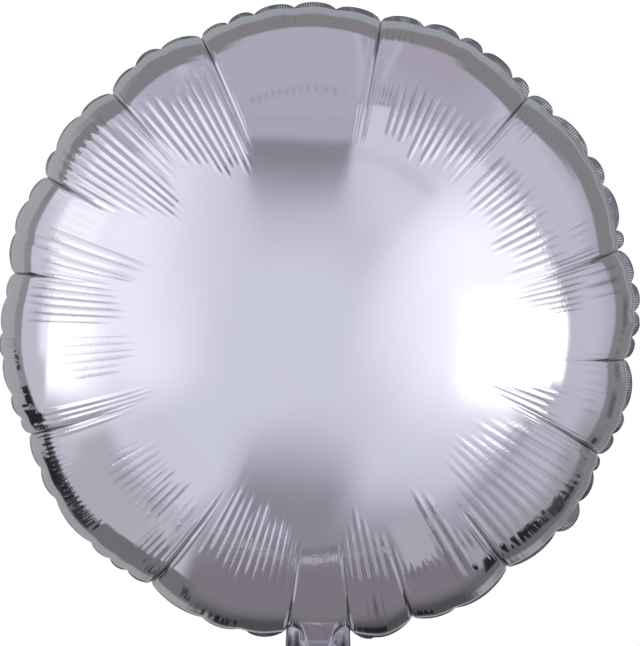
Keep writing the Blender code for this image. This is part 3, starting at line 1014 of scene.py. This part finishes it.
def seal_material():
    """Metallised film, pressed into rows of small pips where it is welded, with shade painted into its
    colour between them.
    """
    material, tree, shader = new_material("embossed_seal_film")
    shader.inputs["Metallic"].default_value = 1.0
    shader.inputs["Roughness"].default_value = WELD_ROUGHNESS
    place = add_node(tree, "UVMap", {}, uv_map="weld_mm").outputs["UV"]
    along, out, _ = add_node(tree, "SeparateXYZ", {0: place}).outputs
    waves = []
    for output, pitch in zip((along, out), WELD_PIP_MM):
        wave = add_math(tree, "SINE", add_math(tree, "MULTIPLY", output, 2 * math.pi / pitch))
        waves.append(add_step(tree, wave, *WELD_PIP_FLANK))
    rows = add_spread(tree, waves[1], 1 - WELD_ROW_DEPTH, 1.0)
    worn = add_noise(tree, place, WELD_WORN_SCALE, WELD_WORN_DETAIL)
    clear = add_spread(tree, add_step(tree, worn, *WELD_CLEAR_FROM), WELD_WORN_PIP, 1.0)
    pips = add_math(tree, "MULTIPLY", add_math(tree, "MULTIPLY", waves[0], rows), clear)
    edge = add_step(tree, out, *WELD_EDGE_MM)
    # Painted shade: the colour is darkest in the hollows between the pips, and close to the film's own
    # colour on them.
    colour = add_mix(tree, edge, add_mix(tree, pips, *WELD_PAINTED_SHADE_AND_PIP_COLOURS), WELD_EDGE_COLOUR)
    tree.links.new(colour, shader.inputs["Base Color"])
    add_bump(tree, shader, pips, WELD_BUMP, WELD_PIP_HEIGHT)
    return material


def valve_material():
    """Thin clear film, with a little haze."""
    material, tree, shader = new_material("clear_film")
    shader.inputs["Base Color"].default_value = (*VALVE_COLOUR, 1)
    shader.inputs["Roughness"].default_value = VALVE_ROUGHNESS
    place = add_node(tree, "TexCoord", {}).outputs["Object"]
    haze = add_noise(tree, place, VALVE_HAZE_SCALE, VALVE_HAZE_DETAIL)
    tree.links.new(add_spread(tree, haze, *VALVE_ALPHA), shader.inputs["Alpha"])
    return material


# The studio, as the mirror-like front of the balloon shows it, each patch by its place on the disc of the
# balloon in shares of its radius. In boxes, four places across and four upwards say where the patch starts,
# is full, is still full and has ended. Two places say that it doesn't end. Sectors have degrees and then
# radii. The light comes last.
BASE_LIGHT = (0.68, 0.68, 0.80)
RIM_LIGHT = (0.24, 0.232, 0.24)
GAP_LIGHT = (0.02, 0.02, 0.025)

# Places beyond the disc, for a patch that doesn't start on it
NO_START = (-4.0, -3.0)
STUDIO_BOXES = (
    ("right glow", (0.06, 0.5), (-0.46, -0.08, 0.21, 0.6), (1.08, 1.08, 1.18)),
    ("left glow", (*NO_START, -0.6, -0.24), (-0.31, -0.11, 0.44, 0.66), (0.95, 0.94, 1.06)),
    ("floor", NO_START, (*NO_START, -0.78, -0.42), (0.225, 0.205, 0.235)),
    ("lower dark", (-0.33, -0.17, -0.02, 0.18), (-0.8, -0.66, -0.6, -0.24), (0.29, 0.28, 0.325)),
    ("upper dark glow", (-0.3, -0.17, 0.08, 0.25), (0.14, 0.4, 0.5, 0.6), (0.54, 0.53, 0.62)),
)
STUDIO_SECTORS = (
    ("lower left wall", (203, 214, 233, 241), (0.52, 0.6), (0.67, 0.66, 0.76)),
    ("lower left edge", (199, 205, 230, 239), (0.7, 0.77), (0.48, 0.455, 0.52)),
    ("lower right wall", (301, 309, 336, 346), (0.63, 0.76), (0.39, 0.38, 0.44)),
    ("ceiling left", (112, 120, 126, 144), (0.74, 0.8), (0.47, 0.45, 0.54)),
    ("ceiling top", (76, 79, 112, 118), (0.56, 0.575), (0.455, 0.44, 0.53)),
    ("ceiling right glow", (46, 60, 76, 80), (0.3, 0.62), (0.66, 0.65, 0.75)),
    ("ceiling arc", (47, 59, 74, 78), (0.515, 0.536, 0.548, 0.578), (0.615, 0.61, 0.7)),
    ("ceiling line", (69, 70, 77, 78), (0.702, 0.71, 0.716, 0.728), (0.37, 0.36, 0.42)),
    ("ceiling right", (40, 50, 77, 79), (0.708, 0.73), (0.46, 0.44, 0.53)),
    ("right wall", (-44, -24, 42, 50), (0.71, 0.8), (0.57, 0.56, 0.64)),
    ("right ceiling edge", (50, 60, 76, 79), (0.76, 0.88), (0.42, 0.39, 0.46)),
    ("left edge", (165, 176, 200, 206), (0.855, 0.885), (0.58, 0.57, 0.64)),
    ("left edge", (183, 191, 203, 208), (0.82, 0.88), (0.57, 0.56, 0.63)),
    ("left wall", (142, 156, 170, 178), (0.82, 0.92), (0.62, 0.6, 0.69)),
    ("floor edge", (260, 263, 277, 280), (0.72, 0.727, 0.742, 0.75), (0.43, 0.4, 0.45)),
    ("floor edge line", (260, 263, 277, 280), (0.69, 0.702, 0.714, 0.722), (0.225, 0.22, 0.255)),
    ("floor end", (287.5, 289, 297, 298.5), (0.62, 0.68, 0.805, 0.828), (0.45, 0.435, 0.5)),
    ("left upper glow", (149, 153, 163, 168), (0.725, 0.755, 0.85, 0.88), (1.05, 1.05, 1.1)),
)
NEAR_BOXES = (
    ("upper dark", (-0.24, -0.195, 0.098, 0.142), (0.32, 0.535, 0.6, 0.65), (0.265, 0.26, 0.305)),
    ("ceiling step", (-0.262, -0.24, 0.132, 0.15), (0.553, 0.59, 0.61, 0.68), (0.44, 0.43, 0.5)),
    ("right softbox", (0.39, 0.55), (-0.31, -0.17, 0.02, 0.14), (1.6, 1.6, 1.62)),
    ("left softbox", (-0.85, -0.83, -0.79, -0.62), (-0.34, -0.16, 0, 0.15), (1.4, 1.4, 1.42)),
)
RIM_SECTORS = (
    ("right edge", (-28, -22, 42, 50), (0.764, 0.786), (0.57, 0.56, 0.64)),
    ("lower right edge", (-50, -34, -15, -10), (0.728, 0.748), (0.55, 0.54, 0.62)),
    ("right wall rim", (-30, -20, 36, 46), (0.86, 0.94), (0.44, 0.43, 0.5)),
    ("lower right rim", (-52, -44, -24, -14), (0.84, 0.915), (0.38, 0.36, 0.41)),
    ("rim dark", (-9, -8, 369, 370), (0.924, 0.932), RIM_LIGHT),
    ("rim dark", (24, 42, 56, 64), (0.908, 0.916), RIM_LIGHT),
    ("rim dark", (106, 114, 142, 150), (0.908, 0.917), RIM_LIGHT),
    ("left rim", (148, 158, 198, 201), (0.924, 0.931), (0.29, 0.28, 0.3)),
    ("rim floor", (205, 215, 328, 338), (0.91, 0.95), (0.155, 0.147, 0.16)),
    ("bottom rim", (240, 248, 296, 306), (0.938, 0.966), (0.085, 0.082, 0.09)),
    ("lower left patch", (225, 226, 231, 232), (0.902, 0.91), (0.185, 0.175, 0.185)),
    ("lower left patch", (229, 230, 241, 243), (0.9, 0.907), (0.185, 0.175, 0.185)),
    ("gap", (185.5, 186.2, 189.4, 190), (0.934, 0.942, 0.954, 0.96), (0.05, 0.05, 0.055)),
    ("gap", (194.2, 195, 200.5, 201), (0.924, 0.934, 0.966, 0.972), GAP_LIGHT),
    ("gap", (201.5, 202, 209, 210), (0.914, 0.93, 0.97, 0.975), GAP_LIGHT),
    ("gap", (209, 210, 213, 214), (0.928, 0.94, 0.966, 0.972), (0.03, 0.03, 0.035)),
    ("gap", (215, 216, 223.5, 224.5), (0.908, 0.926, 0.964, 0.971), (0.04, 0.04, 0.045)),
    ("gap", (238, 239, 240.5, 241), (0.92, 0.94, 0.96, 0.968), (0.05, 0.05, 0.055)),
    ("gap", (248, 250, 256, 257), (0.96, 0.966, 0.985, 0.989), GAP_LIGHT),
    ("gap", (269, 271, 285, 286), (0.966, 0.973, 0.986, 0.99), GAP_LIGHT),
    ("gap", (308.5, 309.5, 317, 319), (0.904, 0.917, 0.946, 0.953), GAP_LIGHT),
    ("gap", (318, 320, 326, 327), (0.912, 0.928, 0.952, 0.958), (0.06, 0.057, 0.065)),
    ("gap line", (322, 324, 331, 332), (0.943, 0.948, 0.956, 0.961), (0.04, 0.04, 0.045)),
    ("gap line", (338, 341, 348, 352), (0.938, 0.955, 0.958, 0.972), (0.13, 0.125, 0.135)),
    ("gap line", (352, 356, 365, 369), (0.95, 0.958, 0.966, 0.974), (0.15, 0.145, 0.16)),
    ("backdrop", (-60, -53, 232, 246), (0.969, 0.975), (0.335, 0.36, 0.385)),
    ("left backdrop", (126, 150, 200, 202), (0.948, 0.955), (0.38, 0.39, 0.405)),
    ("lower left backdrop", (200, 202, 238, 250), (0.973, 0.978), (0.345, 0.362, 0.368)),
    ("lower backdrop", (238, 250, 270, 278), (0.99, 0.994), (0.3, 0.315, 0.32)),
    ("right backdrop", (-50, -44, 40, 52), (0.967, 0.973), (0.22, 0.23, 0.24)),
    ("right edge line", (-6, 0, 44, 50), (0.976, 0.98, 0.985, 0.989), (0.32, 0.33, 0.35)),
    ("behind", (-200, -190, 190, 200), (0.9915, 0.9965), (0.35, 0.36, 0.38)),
)

# Each later table lies over the ones before it. The last value says whether its patches are sectors.
STUDIO_LAYERS = ((STUDIO_BOXES, False), (STUDIO_SECTORS, True), (NEAR_BOXES, False), (RIM_SECTORS, True))

# A row of small dark spots on the ceiling, at even angles
DOT_ROW_ANGLES = (82, 83, 109, 110)
DOT_ROW_RADII = (0.710, 0.724, 0.734, 0.746)
DOT_SPACING = 2.1
DOT_FLANK = (0.1, 0.9)
DOT_LIGHT = (0.34, 0.33, 0.385)

ROOM_COLOUR = (1, 1, 1)
HALF_TURN = 180.0
LEAST_LENGTH = 0.0001


def add_band(tree, value, limits):
    """1 between the two middle limits, falling to 0 at the outer ones. Two limits have no end."""
    rise = add_step(tree, value, *limits[:2])
    if len(limits) == 2:
        return rise
    still, gone = limits[2:]
    return add_math(tree, "MULTIPLY", rise, add_step(tree, value, gone, still))


def add_patch(tree, first, first_limits, second, second_limits):
    """1 where two values are both between their middle limits."""
    bands = add_band(tree, first, first_limits), add_band(tree, second, second_limits)
    return add_math(tree, "MULTIPLY", *bands)


def add_turned(tree, angle, limits):
    """The angle, wrapped so that it doesn't jump between the limits."""
    middle = (limits[0] + limits[3]) / 2
    return add_math(tree, "WRAP", angle, middle + HALF_TURN, middle - HALF_TURN)


def dots_mask(tree, angle, disc_radius):
    """The row of small dark spots on the ceiling."""
    row = add_patch(tree, angle, DOT_ROW_ANGLES, disc_radius, DOT_ROW_RADII)
    wave = add_math(tree, "SINE", add_math(tree, "MULTIPLY", angle, 2 * math.pi / DOT_SPACING))
    return add_math(tree, "MULTIPLY", row, add_step(tree, wave, *DOT_FLANK))


def mirrored_place(tree):
    """Where on the balloon's disc a direction is mirrored: u, v, their length and their angle in degrees."""
    place = add_node(tree, "TexCoord", {}).outputs["Generated"]
    x, y, z = add_node(tree, "SeparateXYZ", {0: place}).outputs
    half_sine = add_math(tree, "SQRT", add_math(tree, "MULTIPLY_ADD", y, 0.5, 0.5))
    disc_radius = add_math(tree, "SQRT", half_sine)
    squares = add_math(tree, "MULTIPLY_ADD", z, z, add_math(tree, "MULTIPLY", x, x))
    flat = add_math(tree, "MAXIMUM", add_math(tree, "SQRT", squares), LEAST_LENGTH)
    u = add_math(tree, "MULTIPLY", add_math(tree, "DIVIDE", x, flat), disc_radius)
    v = add_math(tree, "MULTIPLY", add_math(tree, "DIVIDE", z, flat), disc_radius)
    angle = add_math(tree, "DEGREES", add_math(tree, "ARCTAN2", z, x))
    return u, v, disc_radius, angle


def add_studio(tree):
    """The studio's colour in each direction, one patch of light laid over the other."""
    u, v, disc_radius, angle = mirrored_place(tree)
    colour = BASE_LIGHT
    for patches, are_sectors in STUDIO_LAYERS:
        for name, first_limits, second_limits, light in patches:
            first, second = u, v
            if are_sectors:
                first, second = add_turned(tree, angle, first_limits), disc_radius
            mask = add_patch(tree, first, first_limits, second, second_limits)
            colour = add_mix(tree, mask, colour, light, name)
    return add_mix(tree, dots_mask(tree, angle, disc_radius), colour, DOT_LIGHT, "ceiling dots")


def studio_world():
    """A white room for the eye and for soft light, with the studio painted in where the film mirrors it."""
    world = bpy.data.worlds.new("studio")
    bpy.context.scene.world = world
    world.use_nodes = True
    tree = world.node_tree
    tree.nodes.clear()
    mirrored = add_node(tree, "LightPath", {}).outputs["Is Glossy Ray"]
    plain = add_node(tree, "Background", {"Color": ROOM_COLOUR}).outputs[0]
    painted = add_node(tree, "Background", {"Color": add_studio(tree)}).outputs[0]
    chosen = add_node(tree, "MixShader", {0: mirrored, 1: plain, 2: painted}).outputs[0]
    add_node(tree, "OutputWorld", {"Surface": chosen})


def make_camera():
    """Straight in front, with a long lens, so that the balloon fills the frame as in the photograph."""
    data = bpy.data.cameras.new("camera")
    camera = bpy.data.objects.new("camera", data)
    bpy.context.scene.collection.objects.link(camera)
    metres_per_pixel = INFLATED_RADIUS / PHOTO_RADIUS
    data.sensor_width = SENSOR_WIDTH_MM
    data.sensor_fit = "HORIZONTAL"
    data.lens = SENSOR_WIDTH_MM * CAMERA_DISTANCE / (PHOTO_SIZE[0] * metres_per_pixel)
    data.clip_end = CAMERA_REACH
    right = (PHOTO_SIZE[0] / 2 - PHOTO_CENTRE[0]) * metres_per_pixel
    up = (PHOTO_CENTRE[1] - PHOTO_SIZE[1] / 2) * metres_per_pixel
    camera.location = (right, -CAMERA_DISTANCE, up)
    camera.rotation_euler = (math.pi / 2, 0, 0)
    bpy.context.scene.camera = camera


def floor_material():
    """Plain and pale, fading out towards the floor's edge."""
    material, tree, shader = new_material("pale_floor")
    shader.inputs["Base Color"].default_value = (*FLOOR_COLOUR, 1)
    shader.inputs["Roughness"].default_value = FLOOR_ROUGHNESS
    place = add_node(tree, "TexCoord", {}).outputs["Object"]
    away = add_node(tree, "VectorMath", {0: place}, operation="LENGTH").outputs["Value"]
    fade = add_step(tree, away, FLOOR_RADIUS, FLOOR_FADE_FROM * FLOOR_RADIUS)
    tree.links.new(fade, shader.inputs["Alpha"])
    return material


def make_floor():
    """A round floor below the balloon, which the film doesn't mirror."""
    points = [(0, 0, FLOOR_HEIGHT)]
    for i in range(FLOOR_STEPS):
        turn = 2 * math.pi * i / FLOOR_STEPS
        points.append((FLOOR_RADIUS * math.cos(turn), FLOOR_RADIUS * math.sin(turn), FLOOR_HEIGHT))
    faces = [(0, i + 1, (i + 1) % FLOOR_STEPS + 1) for i in range(FLOOR_STEPS)]
    mesh = bpy.data.meshes.new("floor")
    mesh.from_pydata(points, [], faces)
    mesh.materials.append(floor_material())
    floor = bpy.data.objects.new("floor", mesh)
    bpy.context.scene.collection.objects.link(floor)
    floor.visible_glossy = False


def main():
    bpy.context.scene.view_settings.view_transform = "Standard"
    foil = foil_material()
    front = make_panel("front_film", FRONT, WRINKLE_RUNS, FRONT_SEED, FRONT_ANGLE_STEPS, foil)
    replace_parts(front, "front_panel")
    back_runs = back_wrinkle_runs(np.random.default_rng(BACK_RUNS_SEED))
    back = make_panel("back_film", BACK, back_runs, BACK_SEED, BACK_ANGLE_STEPS, foil)
    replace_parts(back, "back_panel")
    seal = seal_material()
    make_seam_band(seal)
    make_tail_layer("tail_front_foil", FRONT, foil, "tail_front_layer")
    make_tail_layer("tail_back_foil", BACK, foil, "tail_back_layer")
    make_tail_seal("tail_weld_left", LEFT, seal, "tail_seal_left")
    make_tail_seal("tail_weld_right", RIGHT, seal, "tail_seal_right")
    clear = valve_material()
    make_valve_film("valve_lip_front", FRONT, clear, "valve_film_front")
    make_valve_film("valve_lip_back", BACK, clear, "valve_film_back")
    make_floor()
    studio_world()
    make_camera()


main()
